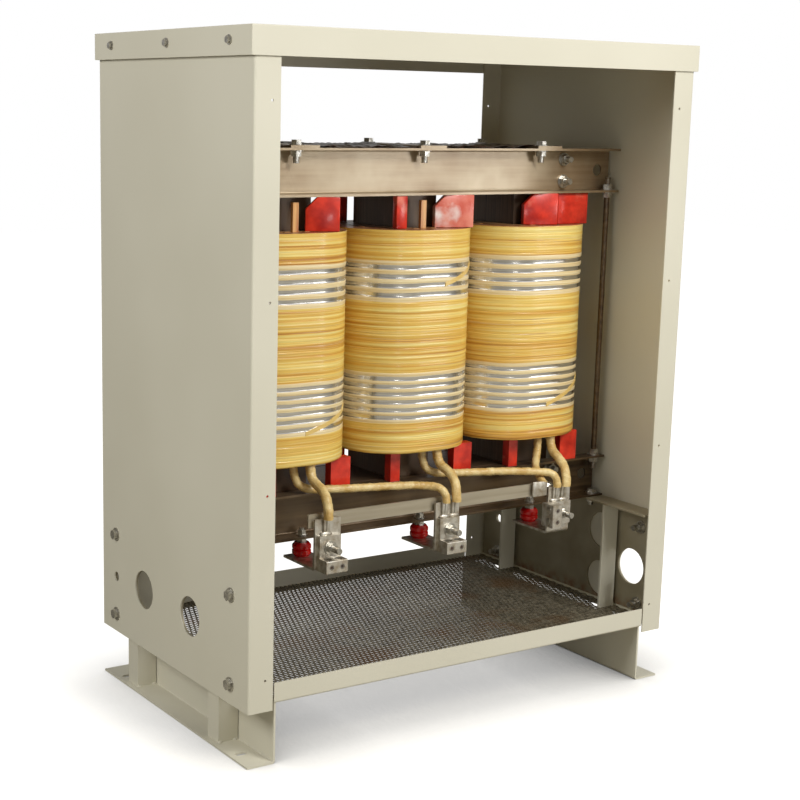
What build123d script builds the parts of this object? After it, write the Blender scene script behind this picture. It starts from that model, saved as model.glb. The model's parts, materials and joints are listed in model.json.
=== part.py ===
"""Three-phase dry type transformer in a floor-standing sheet steel enclosure.

Front and back covers are off, so the core, the three coils and the wiring
space under them are open to view.  Millimetres.  +Z is up, +X is to the right
seen from the front, the front faces -Y, and the origin is on the floor at the
middle of the footprint.
"""

import os
from math import pi, radians, tan

from build123d import *

os.makedirs("parts", exist_ok=True)

# ---------------------------------------------------------------- enclosure
overall_height = 1045.0
panel_span = 804.0          # over the outside faces of the two side panels
panel_depth = 486.0
panel_bottom = 84.0
panel_flange = 41.0         # front and rear flanges of a side panel
enclosure_sheet = 2.0
bend_inside = 1.5           # inside radius of every sheet bend
cover_overhang_side = 6.0
cover_overhang_front = 3.0
cover_flange = 40.0
cover_screw_pitch = 185.0
cover_screw_drop = 19.0     # below the top of the cover
cover_screw_size = 6.0
flange_hole_size = 4.0      # pilot holes for the front and rear covers
flange_hole_inset = 28.0    # from the panel's outside face
flange_hole_first = 131.0
flange_hole_last = 98.0     # last pilot hole below the top
flange_hole_count = 4
knockout_size = 62.0        # 2 in trade size
left_knockouts = [(89.6, 181.5), (-64.7, 181.5)]
right_knockouts = [(-170.0, 175.5)]
right_plate_knockouts = [(-93.0, 222.0), (-93.0, 135.0)]
service_hole_size = 16.0
service_hole_up = 178.0
edge_round = 1.2            # outside edges of the cover
drill_depth = 20.0          # length of the tools that cut sheet holes
panel_bolt_size = 9.5
panel_bolt_inset = 53.0     # from the panel's front and rear faces
panel_bolt_low = 114.5
panel_bolt_high = 249.5

# ---------------------------------------------------------------- base frame
foot_web_inset = 48.0       # upright web's face, inside the panel's outside face
foot_width = 47.0
foot_sheet = 3.0
foot_setback = 3.0          # feet end this far inside the panel's front and rear
foot_height = 94.0
foot_slot_width = 10.0
foot_slot_length = 20.0
foot_slot_inset = 19.0      # slot middle from the foot's outer edge
foot_slot_setback = 50.0    # slot middle from the foot's front and rear ends
end_plate_sheet = 3.0
end_plate_bottom = 100.0
shelf_height = 284.5
shelf_width = 43.0
end_plate_setback = 8.0
post_leg = 33.0
post_sheet = 4.0
post_places = [-138.0, 134.0]
beam_height = 31.0
beam_flange = 26.0
beam_gap = 2.5              # between a beam's end and the panel flange
beam_sheet = 2.0
floor_sheet = 2.0
floor_gap = 1.0
diamond_columns = 12
diamond_rows = 10
diamond_share = 0.72        # open part of each mesh cell, across and along

# ---------------------------------------------------------------- core and clamps
phase_pitch = 234.0
leg_width = 76.0
core_stack = 121.0
clamp_height = 72.0
clamp_flange = 28.0
clamp_sheet = 3.5
clamp_bend = 3.0
clamp_end_gap = 7.0         # from a clamp's end to the panel's outside face
window_height = 451.5
clamp_hole_size = 19.0
clamp_hole_inset = 25.0     # from the clamp's end
clamp_bolt_place = 295.0
clamp_bolt_spread = 18.0    # above and below the clamp's middle
clamp_bolt_size = 9.5
tie_rod_size = 9.5
tie_rod_inset = 13.0        # from the clamp's end
flange_bolt_line = 14.0     # bolt line from the clamp's web face
strap_width = 50.0
strap_offset = 7.5
strap_sheet = 4.0
strap_bolt_size = 9.5
hold_down_size = 9.5
running_clearance = 0.4     # radial play of a shank in its hole

# ---------------------------------------------------------------- coils
coil_width = 224.0
coil_depth = 236.0
coil_corner = 88.0
coil_height = 351.0
coil_lift = 49.5            # coil bottom above the lower clamp
outer_build = 32.0
duct_gap = 6.0
tube_clearance = 2.0
tube_wall = 2.5
tube_corner = 4.0
duct_stick_width = 10.0
long_stick_proud = 43.0
long_stick_place = -4.0     # on the left and middle coils, front and rear
side_stick_place = 22.0
front_stick_place = 17.0
block_thickness = 12.0
block_chamfer = 18.0

# ---------------------------------------------------------------- terminals
terminal_places = [-213.0, 12.0, 243.0]
bracket_width = 46.0
bracket_sheet = 4.0
bracket_front = 152.0       # front face of the upright plate, from the middle
bracket_tail = 62.0         # rear end of the horizontal leg
bracket_base = 251.0
bracket_height = 80.0
insulator_size = 30.0
insulator_height = 22.0
insulator_waist = 23.0
stud_size = 8.0
lug_width = 38.0
lug_tang = 8.0
lug_block_depth = 28.0
lug_block_height = 20.0
lug_length = 54.0
lug_drop = 1.0              # lug's lower end above the bracket's underside
lug_barrel = 13.0
lug_screw = 8.0
lug_stud_up = 35.0
terminal_stud_size = 9.5
terminal_stud_proud = 26.0
bar_height = 21.0
bar_sheet = 3.0
bar_base = 317.0
bar_left = -243.0
bar_right = 205.0
lead_size = 15.0
link_size = 12.5
conductor_width = 10.0
conductor_sheet = 4.0
conductor_length = 22.0
crimp_width = 30.0

# ---------------------------------------------------------------- fasteners
HEAD_RATIO = 1.5            # across flats of a head or nut, per shank diameter
HEAD_HEIGHT_RATIO = 0.62
NUT_HEIGHT_RATIO = 0.8
WASHER_RATIO = 2.3
washer_sheet = 1.6

# ---------------------------------------------------------------- worked out from them
panel_face = panel_span / 2
panel_inside = panel_face - enclosure_sheet
panel_front = panel_depth / 2
panel_top = overall_height - enclosure_sheet
panel_height = panel_top - panel_bottom
panel_bolt_reach = panel_front - panel_bolt_inset
flange_hole_span = overall_height - flange_hole_last - flange_hole_first
flange_hole_pitch = flange_hole_span / (flange_hole_count - 1)
foot_web_place = panel_face - foot_web_inset
foot_outer = foot_web_place + foot_width
foot_depth = panel_depth - 2 * foot_setback
foot_slot_reach = foot_depth / 2 - foot_slot_setback
end_plate_depth = panel_depth - 2 * end_plate_setback
clamp_length = panel_span - 2 * clamp_end_gap
clamp_hole_place = clamp_length / 2 - clamp_hole_inset
tie_rod_place = clamp_length / 2 - tie_rod_inset
beam_base = foot_height
beam_end = panel_face - panel_flange - beam_gap
floor_base = beam_base + beam_sheet
lower_clamp_base = shelf_height
lower_clamp_top = lower_clamp_base + clamp_height
upper_clamp_base = lower_clamp_top + window_height
upper_clamp_top = upper_clamp_base + clamp_height
clamp_face = core_stack / 2 + clamp_sheet
clamp_lip = core_stack / 2 + clamp_flange + clamp_sheet
bolt_line = clamp_face + flange_bolt_line
yoke_length = 2 * phase_pitch + leg_width
phases = {"left": -phase_pitch, "middle": 0.0, "right": phase_pitch}
coil_base = lower_clamp_top + coil_lift
coil_top = coil_base + coil_height
tube_half_x = leg_width / 2 + tube_clearance
tube_half_y = core_stack / 2 + tube_clearance
duct_half_x = coil_width / 2 - outer_build
duct_half_y = coil_depth / 2 - outer_build
insulator_base = bracket_base + bracket_sheet
lug_base = bracket_base + lug_drop
lead_line = bracket_front + lead_size / 2
link_line = bracket_front + link_size / 2
lead_end = bracket_base + bracket_height


# ---------------------------------------------------------------- helpers
def save(builder, label):
    """Label a finished sub-part and write it as one STEP file."""
    builder.part.label = label
    export_step(builder.part, f"parts/{label}.step")


def folded_section(points, sheet, bend, side):
    """Section of a sheet folded along points, with its thickness on one side."""
    with BuildSketch() as section:
        with BuildLine():
            FilletPolyline(*points, radius=bend + sheet)
            offset(amount=sheet, side=side)
        make_face()
    return section.sketch


def hex_bolt(size, length):
    """Hex head with its washer on z = 0 and the shank hanging down from it."""
    with BuildPart() as bolt:
        with BuildSketch():
            Circle(size * WASHER_RATIO / 2)
        extrude(amount=washer_sheet)
        with BuildSketch(Plane.XY.offset(washer_sheet)):
            RegularPolygon(size * HEAD_RATIO / 2, 6, major_radius=False)
        extrude(amount=size * HEAD_HEIGHT_RATIO)
        with BuildSketch():
            Circle(size / 2)
        extrude(amount=-length)
    return bolt.part


def hex_nut(size):
    """Nut on its washer, bearing on z = 0 and standing up from it."""
    with BuildPart() as nut:
        with BuildSketch():
            Circle(size * WASHER_RATIO / 2)
        extrude(amount=washer_sheet)
        with BuildSketch(Plane.XY.offset(washer_sheet)):
            RegularPolygon(size * HEAD_RATIO / 2, 6, major_radius=False)
        extrude(amount=size * NUT_HEIGHT_RATIO)
        Hole(size / 2)
    return nut.part


def place_all(part, spots):
    """Builder holding copies of one fastener, each a solid of its own."""
    with BuildPart() as group:
        with Locations(*spots):
            add(part)
    return group


def facing(x, y, z, direction):
    """Location whose local +Z points along direction."""
    return Plane(origin=(x, y, z), x_dir=(0, 0, 1) if direction[2] == 0 else (1, 0, 0),
                 z_dir=direction).location


def clearance_hole(size):
    """Radius of the hole that a shank of this size passes through."""
    return size / 2 + running_clearance


def drill(radius, *spots, along, depth=drill_depth):
    """Cut a round hole at each spot of the open builder, along one direction."""
    with Locations(*[facing(*spot, along) for spot in spots]):
        Cylinder(radius, depth, mode=Mode.SUBTRACT)


# ---------------------------------------------------------------- top cover
cover_width = panel_span + 2 * cover_overhang_side
cover_depth = panel_depth + 2 * cover_overhang_front
cover_screw_height = overall_height - cover_screw_drop
cover_screw_rows = [-cover_screw_pitch, 0.0, cover_screw_pitch]

with BuildPart() as top_cover:
    with BuildSketch(Plane.XY.offset(overall_height - cover_flange)):
        Rectangle(cover_width, cover_depth)
    extrude(amount=cover_flange)
    fillet(top_cover.edges().filter_by(Axis.Z), edge_round)
    fillet(top_cover.faces().sort_by(Axis.Z)[-1].edges(), edge_round)
    offset(amount=-enclosure_sheet, openings=top_cover.faces().sort_by(Axis.Z)[0])
    drill(clearance_hole(cover_screw_size),
          *[(0, row, cover_screw_height) for row in cover_screw_rows],
          along=(1, 0, 0), depth=2 * cover_width)
save(top_cover, "top_cover")


# ---------------------------------------------------------------- side panels
panel_bolt_spots = [(y, z) for y in (-panel_bolt_reach, panel_bolt_reach)
                    for z in (panel_bolt_low, panel_bolt_high)]


def drill_low_holes(wall, knockouts):
    """Knock-outs, bolt holes and service hole that a panel shares with its end plate."""
    drill(knockout_size / 2, *[(wall, y, z) for y, z in knockouts], along=(1, 0, 0))
    drill(clearance_hole(panel_bolt_size), *[(wall, y, z) for y, z in panel_bolt_spots],
          along=(1, 0, 0))
    drill(service_hole_size / 2, (wall, panel_bolt_reach, service_hole_up), along=(1, 0, 0))


def side_panel(hand, knockouts):
    """Folded side panel; hand is -1 on the left and +1 on the right."""
    outline = [(hand * (panel_face - panel_flange), -panel_front),
               (hand * panel_face, -panel_front),
               (hand * panel_face, panel_front),
               (hand * (panel_face - panel_flange), panel_front)]
    side = Side.LEFT if hand > 0 else Side.RIGHT
    wall = hand * panel_face
    with BuildPart() as panel:
        with BuildSketch(Plane.XY.offset(panel_bottom)):
            add(folded_section(outline, enclosure_sheet, bend_inside, side))
        extrude(amount=panel_height)
        drill_low_holes(wall, knockouts)
        drill(clearance_hole(cover_screw_size),
              *[(wall, row, cover_screw_height) for row in cover_screw_rows], along=(1, 0, 0))
        pilot_line = hand * (panel_face - flange_hole_inset)
        drill(flange_hole_size / 2,
              *[(pilot_line, 0, flange_hole_first + step * flange_hole_pitch)
                for step in range(flange_hole_count)],
              along=(0, 1, 0), depth=2 * panel_depth)
    return panel


left_side_panel = side_panel(-1, left_knockouts)
save(left_side_panel, "left_side_panel")
right_side_panel = side_panel(1, right_knockouts)
save(right_side_panel, "right_side_panel")

cover_screw = hex_bolt(cover_screw_size, cover_overhang_side + 2 * enclosure_sheet + 6)
cover_screws = place_all(cover_screw, [
    facing(hand * cover_width / 2, row, cover_screw_height, (hand, 0, 0))
    for hand in (-1, 1) for row in cover_screw_rows])
save(cover_screws, "cover_screws")


# ---------------------------------------------------------------- base frame
def foot(hand):
    """Folded foot: an upright web and a slotted flange that lies on the floor."""
    outline = [(hand * foot_outer, 0), (hand * foot_web_place, 0),
               (hand * foot_web_place, foot_height)]
    side = Side.RIGHT if hand > 0 else Side.LEFT
    with BuildPart() as part:
        with BuildSketch(Plane.XZ.offset(-foot_depth / 2)):
            add(folded_section(outline, foot_sheet, bend_inside, side))
        extrude(amount=foot_depth)
        slot_x = hand * (foot_outer - foot_slot_inset)
        with BuildSketch():
            with Locations((slot_x, -foot_slot_reach), (slot_x, foot_slot_reach)):
                SlotOverall(foot_slot_length, foot_slot_width)
        extrude(amount=2 * foot_sheet, mode=Mode.SUBTRACT)
    return part


def end_plate(hand, knockouts):
    """Stiffening plate inside a side panel, folded over into the core shelf."""
    back = hand * panel_inside
    outline = [(back, end_plate_bottom), (back, shelf_height),
               (back - hand * shelf_width, shelf_height)]
    side = Side.LEFT if hand > 0 else Side.RIGHT
    with BuildPart() as part:
        with BuildSketch(Plane.XZ.offset(-end_plate_depth / 2)):
            add(folded_section(outline, end_plate_sheet, bend_inside, side))
        extrude(amount=end_plate_depth)
        drill_low_holes(back, knockouts)
        drill(clearance_hole(hold_down_size),
              (hand * tie_rod_place, -bolt_line, shelf_height),
              (hand * tie_rod_place, bolt_line, shelf_height), along=(0, 0, 1))
    return part


def posts(hand):
    """The two angle posts that carry one shelf from the foot flange."""
    web = hand * (foot_web_place + foot_sheet + bend_inside)
    outer = web + hand * post_leg
    rise = shelf_height - end_plate_sheet - foot_sheet
    with BuildPart() as part:
        with BuildSketch(Plane.XY.offset(foot_sheet)):
            for front in post_places:
                with BuildLine():
                    Polyline((web, front), (outer, front), (outer, front + post_leg),
                             (outer - hand * post_sheet, front + post_leg),
                             (outer - hand * post_sheet, front + post_sheet),
                             (web, front + post_sheet), close=True)
                make_face()
        extrude(amount=rise)
    return part


left_foot = foot(-1)
save(left_foot, "left_foot")
right_foot = foot(1)
save(right_foot, "right_foot")
left_end_plate = end_plate(-1, left_knockouts)
save(left_end_plate, "left_end_plate")
right_end_plate = end_plate(1, right_knockouts + right_plate_knockouts)
save(right_end_plate, "right_end_plate")
left_posts = posts(-1)
save(left_posts, "left_posts")
right_posts = posts(1)
save(right_posts, "right_posts")


def beam(hand):
    """Folded front (-1) or rear (+1) beam, which also carries the floor mesh."""
    face = hand * panel_front
    outline = [(face, beam_base + beam_height), (face, beam_base),
               (face - hand * beam_flange, beam_base)]
    side = Side.LEFT if hand < 0 else Side.RIGHT
    with BuildPart() as part:
        with BuildSketch(Plane.YZ.offset(-beam_end)):
            add(folded_section(outline, beam_sheet, bend_inside, side))
        extrude(amount=2 * beam_end)
    return part


front_beam = beam(-1)
save(front_beam, "front_beam")
rear_beam = beam(1)
save(rear_beam, "rear_beam")

floor_depth = panel_depth - 2 * (beam_sheet + bend_inside + floor_gap)
floor_width = 2 * foot_web_place
cell_x = (floor_width - 2 * post_sheet) / diamond_columns
cell_y = (floor_depth - 2 * post_sheet) / diamond_rows
with BuildPart() as floor_mesh:
    with BuildSketch(Plane.XY.offset(floor_base)):
        Rectangle(floor_width, floor_depth)
        with BuildSketch(mode=Mode.PRIVATE) as diamond:
            with BuildLine():
                Polyline((-cell_x * diamond_share / 2, 0), (0, -cell_y * diamond_share / 2),
                         (cell_x * diamond_share / 2, 0), (0, cell_y * diamond_share / 2),
                         close=True)
            make_face()
        with GridLocations(cell_x, cell_y, diamond_columns, diamond_rows):
            add(diamond.sketch, mode=Mode.SUBTRACT)
    extrude(amount=floor_sheet)
save(floor_mesh, "floor_mesh")

panel_bolt_grip = enclosure_sheet + end_plate_sheet
panel_bolts = place_all(hex_bolt(panel_bolt_size, panel_bolt_grip + 2 * panel_bolt_size), [
    facing(hand * panel_face, y, z, (hand, 0, 0))
    for hand in (-1, 1) for y, z in panel_bolt_spots])
save(panel_bolts, "panel_bolts")
panel_nuts = place_all(hex_nut(panel_bolt_size), [
    facing(hand * (panel_face - panel_bolt_grip), y, z, (-hand, 0, 0))
    for hand in (-1, 1) for y, z in panel_bolt_spots])
save(panel_nuts, "panel_nuts")


# ---------------------------------------------------------------- core
def core_block(length, width, base, height, middle):
    """Stack of core laminations as one solid."""
    with BuildPart() as block:
        with BuildSketch(Plane.XY.offset(base)):
            with Locations((middle, 0)):
                Rectangle(length, width)
        extrude(amount=height)
    return block


bottom_yoke = core_block(yoke_length, core_stack, lower_clamp_base, clamp_height, 0)
save(bottom_yoke, "bottom_yoke")
top_yoke = core_block(yoke_length, core_stack, upper_clamp_base, clamp_height, 0)
save(top_yoke, "top_yoke")
for phase, place in phases.items():
    core_leg = core_block(leg_width, core_stack, lower_clamp_top, window_height, place)
    save(core_leg, f"{phase}_core_leg")


# ---------------------------------------------------------------- clamps
def clamp(hand, base):
    """Channel with flanges turned outwards; hand is -1 in front, +1 behind."""
    lip = hand * clamp_lip
    inside = hand * core_stack / 2
    outline = [(lip, base), (inside, base), (inside, base + clamp_height),
               (lip, base + clamp_height)]
    side = Side.RIGHT if hand > 0 else Side.LEFT
    middle = base + clamp_height / 2
    is_upper = base == upper_clamp_base
    with BuildPart() as part:
        with BuildSketch(Plane.YZ.offset(-clamp_length / 2)):
            add(folded_section(outline, clamp_sheet, clamp_bend, side))
        extrude(amount=clamp_length)
        for end in (-1, 1):
            rod_line = (end * tie_rod_place, hand * bolt_line)
            drill(clamp_hole_size / 2, (end * clamp_hole_place, inside, middle), along=(0, 1, 0))
            drill(clearance_hole(clamp_bolt_size),
                  *[(end * clamp_bolt_place, inside, middle + level)
                    for level in (-clamp_bolt_spread, clamp_bolt_spread)], along=(0, 1, 0))
            rod_flange = base if is_upper else base + clamp_height
            drill(clearance_hole(tie_rod_size), (*rod_line, rod_flange), along=(0, 0, 1))
            if not is_upper:
                drill(clearance_hole(hold_down_size), (*rod_line, base), along=(0, 0, 1))
        if is_upper:
            drill(clearance_hole(strap_bolt_size),
                  *[(place, hand * bolt_line, upper_clamp_top) for place in phases.values()],
                  along=(0, 0, 1))
        elif hand < 0:
            drill(clearance_hole(stud_size),
                  *[(place, -bolt_line, base) for place in terminal_places], along=(0, 0, 1))
    return part


upper_front_clamp = clamp(-1, upper_clamp_base)
save(upper_front_clamp, "upper_front_clamp")
upper_rear_clamp = clamp(1, upper_clamp_base)
save(upper_rear_clamp, "upper_rear_clamp")
lower_front_clamp = clamp(-1, lower_clamp_base)
save(lower_front_clamp, "lower_front_clamp")
lower_rear_clamp = clamp(1, lower_clamp_base)
save(lower_rear_clamp, "lower_rear_clamp")

clamp_bolt_levels = [base + clamp_height / 2 + level
                     for base in (lower_clamp_base, upper_clamp_base)
                     for level in (-clamp_bolt_spread, clamp_bolt_spread)]
clamp_bolt_spots = [(end * clamp_bolt_place, z) for end in (-1, 1) for z in clamp_bolt_levels]
clamp_bolts = place_all(hex_bolt(clamp_bolt_size, 2 * clamp_face + 2 * clamp_bolt_size), [
    facing(x, clamp_face, z, (0, 1, 0)) for x, z in clamp_bolt_spots])
save(clamp_bolts, "clamp_bolts")
clamp_nuts = place_all(hex_nut(clamp_bolt_size), [
    facing(x, -clamp_face, z, (0, -1, 0)) for x, z in clamp_bolt_spots])

tie_rod_proud = 2.2 * tie_rod_size
tie_rod_base = lower_clamp_top - clamp_sheet - tie_rod_proud
tie_rod_length = upper_clamp_base + clamp_sheet + tie_rod_proud - tie_rod_base
tie_rod_spots = [(end * tie_rod_place, hand * bolt_line)
                 for end in (-1, 1) for hand in (-1, 1)]
with BuildPart() as tie_rods:
    with BuildSketch(Plane.XY.offset(tie_rod_base)):
        with Locations(*tie_rod_spots):
            Circle(tie_rod_size / 2)
    extrude(amount=tie_rod_length)
save(tie_rods, "tie_rods")
tie_rod_nuts = place_all(hex_nut(tie_rod_size), [
    facing(x, y, z, (0, 0, way)) for x, y in tie_rod_spots
    for z, way in ((lower_clamp_top, 1), (lower_clamp_top - clamp_sheet, -1),
                   (upper_clamp_base, -1), (upper_clamp_base + clamp_sheet, 1))])

hold_down_grip = clamp_sheet + end_plate_sheet
hold_down_bolts = place_all(hex_bolt(hold_down_size, hold_down_grip + 1.6 * hold_down_size), [
    facing(x, y, lower_clamp_base + clamp_sheet, (0, 0, 1)) for x, y in tie_rod_spots])
save(hold_down_bolts, "hold_down_bolts")
hold_down_nuts = place_all(hex_nut(hold_down_size), [
    facing(x, y, shelf_height - end_plate_sheet, (0, 0, -1)) for x, y in tie_rod_spots])

strap_top = upper_clamp_top + strap_sheet
with BuildPart() as yoke_straps:
    with BuildSketch(Plane.XY.offset(upper_clamp_top)):
        for place in phases.values():
            with Locations((place + strap_offset, 0)):
                Rectangle(strap_width, 2 * clamp_lip)
        with Locations(*[(place, hand * bolt_line)
                         for place in phases.values() for hand in (-1, 1)]):
            Circle(clearance_hole(strap_bolt_size), mode=Mode.SUBTRACT)
    extrude(amount=strap_sheet)
save(yoke_straps, "yoke_straps")
strap_bolts = place_all(
    hex_bolt(strap_bolt_size, strap_sheet + clamp_sheet + 2 * strap_bolt_size),
    [facing(place, hand * bolt_line, strap_top, (0, 0, 1))
     for place in phases.values() for hand in (-1, 1)])
save(strap_bolts, "strap_bolts")
strap_nuts = place_all(hex_nut(strap_bolt_size), [
    facing(place, hand * bolt_line, upper_clamp_top - clamp_sheet, (0, 0, -1))
    for place in phases.values() for hand in (-1, 1)])

with BuildPart() as core_nuts:
    for nuts in (clamp_nuts, tie_rod_nuts, hold_down_nuts, strap_nuts):
        add(nuts.part)
save(core_nuts, "core_nuts")


# ---------------------------------------------------------------- coils
def ring(place, outer, outer_corner, inner, inner_corner):
    """Wound layer of one coil between two rounded rectangles, full coil height."""
    with BuildPart() as layer:
        with BuildSketch(Plane.XY.offset(coil_base)):
            with Locations((place, 0)):
                RectangleRounded(2 * outer[0], 2 * outer[1], outer_corner)
                RectangleRounded(2 * inner[0], 2 * inner[1], inner_corner, mode=Mode.SUBTRACT)
        extrude(amount=coil_height)
    return layer


coil_half = (coil_width / 2, coil_depth / 2)
duct_outer = (duct_half_x, duct_half_y)
duct_inner = (duct_half_x - duct_gap, duct_half_y - duct_gap)
tube_outer = (tube_half_x + tube_wall, tube_half_y + tube_wall)
tube_inner = (tube_half_x, tube_half_y)
duct_corner = coil_corner - outer_build

for phase, place in phases.items():
    outer_winding = ring(place, coil_half, coil_corner, duct_outer, duct_corner)
    save(outer_winding, f"{phase}_outer_winding")
    inner_winding = ring(place, duct_inner, duct_corner - duct_gap, tube_outer,
                         tube_corner + tube_wall)
    save(inner_winding, f"{phase}_inner_winding")
    winding_tube = ring(place, tube_outer, tube_corner + tube_wall, tube_inner, tube_corner)
    save(winding_tube, f"{phase}_winding_tube")

duct_middle_x = duct_half_x - duct_gap / 2
duct_middle_y = duct_half_y - duct_gap / 2
with BuildPart() as duct_sticks:
    with BuildSketch(Plane.XY.offset(coil_base)):
        for place in phases.values():
            with Locations(*[(place + side * front_stick_place, hand * duct_middle_y)
                             for side in (-1, 1) for hand in (-1, 1)]):
                Rectangle(duct_stick_width, duct_gap)
            with Locations(*[(place + side * duct_middle_x, hand * side_stick_place)
                             for side in (-1, 1) for hand in (-1, 1)]):
                Rectangle(duct_gap, duct_stick_width)
    extrude(amount=coil_height)
    with BuildSketch(Plane.XY.offset(coil_base)):
        with Locations(*[(phases[phase] + long_stick_place, hand * duct_middle_y)
                         for phase in ("left", "middle") for hand in (-1, 1)]):
            Rectangle(duct_stick_width, duct_gap)
    extrude(amount=coil_height + long_stick_proud)
save(duct_sticks, "duct_sticks")

# Each block is (middle x from the coil's middle, middle y, length, turn in degrees).
block_line = bolt_line + 2
upper_blocks = {
    "left": [(40.0, block_line + 10, 52.0, -27.0)],
    "middle": [(-48.0, block_line + 4, 20.0, 0.0), (53.0, block_line + 6, 66.0, -14.0)],
    "right": [(-2.0, block_line + 3, 60.0, -17.0), (67.0, block_line, 64.0, 0.0)],
}
lower_blocks = {
    "left": [(-42.0, 18.0), (84.0, 36.0)],
    "middle": [(-46.0, 18.0), (88.0, 36.0)],
    "right": [(-40.0, 18.0), (80.0, 36.0)],
}


def upper_block(length, chamfered):
    """Upright support block on z = 0, long way along X, thin along Y."""
    height = upper_clamp_base - coil_top
    with BuildPart() as block:
        with BuildSketch(Plane.XZ.offset(-block_thickness / 2)) as face:
            Rectangle(length, height, align=(Align.CENTER, Align.MIN))
            if chamfered:
                chamfer(face.vertices().group_by(Axis.Z)[-1].sort_by(Axis.X)[0], block_chamfer)
        extrude(amount=block_thickness)
    return block.part


with BuildPart() as upper_support_blocks:
    for phase, place in phases.items():
        for x, y, length, turn in upper_blocks[phase]:
            for hand in (-1, 1):
                with Locations(Location((place + x, hand * y, coil_top), (0, 0, -hand * turn))):
                    add(upper_block(length, length > 2 * block_chamfer))
save(upper_support_blocks, "upper_support_blocks")

with BuildPart() as lower_support_blocks:
    with BuildSketch(Plane.XY.offset(lower_clamp_top)):
        for phase, place in phases.items():
            for x, width in lower_blocks[phase]:
                with Locations((place + x, block_line), (place + x, -block_line)):
                    Rectangle(width, block_thickness + 4)
    extrude(amount=coil_lift)
save(lower_support_blocks, "lower_support_blocks")


# ---------------------------------------------------------------- terminals
def terminal_bracket(place):
    """Bent bar: a leg on the stand-off insulator and an upright terminal plate."""
    outline = [(-bracket_tail, bracket_base), (-bracket_front, bracket_base),
               (-bracket_front, bracket_base + bracket_height)]
    with BuildPart() as part:
        with BuildSketch(Plane.YZ.offset(place - bracket_width / 2)):
            add(folded_section(outline, bracket_sheet, bend_inside, Side.RIGHT))
        extrude(amount=bracket_width)
        drill(clearance_hole(stud_size), (place, -bolt_line, bracket_base), along=(0, 0, 1))
        drill(clearance_hole(terminal_stud_size),
              (place, -bracket_front, lug_base + lug_stud_up), along=(0, 1, 0))
    return part


def terminal_lug(turn):
    """Two-barrel lug around its stud at the origin, front towards -Y."""
    base = -lug_stud_up
    with BuildPart() as lug:
        with Locations((0, 0, base)):
            Box(lug_width, lug_tang, lug_length, align=(Align.CENTER, Align.MAX, Align.MIN))
            Box(lug_width, lug_block_depth, lug_block_height,
                align=(Align.CENTER, Align.MAX, Align.MIN))
        fillet(lug.edges().filter_by(Axis.X).group_by(Axis.Y)[0], 1.5)
        for side in (-1, 1):
            x = side * lug_width / 4
            with Locations((x, -lug_block_depth * 0.6, base + lug_block_height / 2)):
                Cylinder(lug_barrel / 2, 2 * lug_block_height, mode=Mode.SUBTRACT)
            with Locations(facing(x, -lug_block_depth, base + lug_block_height / 2, (0, 1, 0))):
                Cylinder(lug_screw / 2, lug_block_depth * 0.6, mode=Mode.SUBTRACT)
        with Locations(facing(0, 0, 0, (0, 1, 0))):
            Cylinder(clearance_hole(terminal_stud_size), 4 * lug_tang, mode=Mode.SUBTRACT)
    return lug.part.rotate(Axis.Y, turn)


lug_turns = [0.0, 0.0, 90.0]
stud_height = lug_base + lug_stud_up
for (phase, _), place, turn in zip(phases.items(), terminal_places, lug_turns):
    bracket = terminal_bracket(place)
    save(bracket, f"{phase}_terminal_bracket")
    with BuildPart() as seated_lug:
        with Locations((place, -bracket_front, stud_height)):
            add(terminal_lug(turn))
    save(seated_lug, f"{phase}_terminal_lug")

with BuildPart() as stand_off_insulators:
    with BuildSketch(Plane.XZ) as half_profile:
        with BuildLine():
            half = insulator_size / 2
            waist = insulator_waist / 2
            Polyline((0, 0), (waist, 0), (half, insulator_height * 0.2),
                     (half, insulator_height * 0.42), (waist + 1.5, insulator_height * 0.5),
                     (half, insulator_height * 0.58), (half, insulator_height * 0.8),
                     (waist, insulator_height), (0, insulator_height), close=True)
        make_face()
    revolve(axis=Axis.Z)
    Hole(clearance_hole(stud_size))
insulator_group = place_all(stand_off_insulators.part, [
    Location((place, -bolt_line, insulator_base)) for place in terminal_places])
save(insulator_group, "stand_off_insulators")

spacer_height = lower_clamp_base - insulator_base - insulator_height
with BuildPart() as insulator_spacer:
    with BuildSketch():
        RegularPolygon(stud_size * HEAD_RATIO / 2 + 1, 6, major_radius=False)
        Circle(clearance_hole(stud_size), mode=Mode.SUBTRACT)
    extrude(amount=spacer_height)
insulator_spacers = place_all(insulator_spacer.part, [
    Location((place, -bolt_line, insulator_base + insulator_height))
    for place in terminal_places])
insulator_stack = lower_clamp_base + clamp_sheet - bracket_base
insulator_bolts = place_all(hex_bolt(stud_size, insulator_stack + 1.4 * stud_size), [
    facing(place, -bolt_line, bracket_base, (0, 0, -1)) for place in terminal_places])
save(insulator_bolts, "insulator_bolts")
insulator_nuts = place_all(hex_nut(stud_size), [
    facing(place, -bolt_line, lower_clamp_base + clamp_sheet, (0, 0, 1))
    for place in terminal_places])
with BuildPart() as insulator_hardware:
    add(insulator_nuts.part)
    add(insulator_spacers.part)
save(insulator_hardware, "insulator_nuts")

terminal_grip = bracket_sheet + lug_tang
terminal_studs = place_all(hex_bolt(terminal_stud_size, terminal_grip + terminal_stud_proud), [
    facing(place, bracket_sheet - bracket_front, stud_height, (0, 1, 0))
    for place in terminal_places])
save(terminal_studs, "terminal_studs")
terminal_nuts = place_all(hex_nut(terminal_stud_size), [
    facing(place, -bracket_front - lug_tang, stud_height, (0, -1, 0))
    for place in terminal_places])
save(terminal_nuts, "terminal_nuts")

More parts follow.
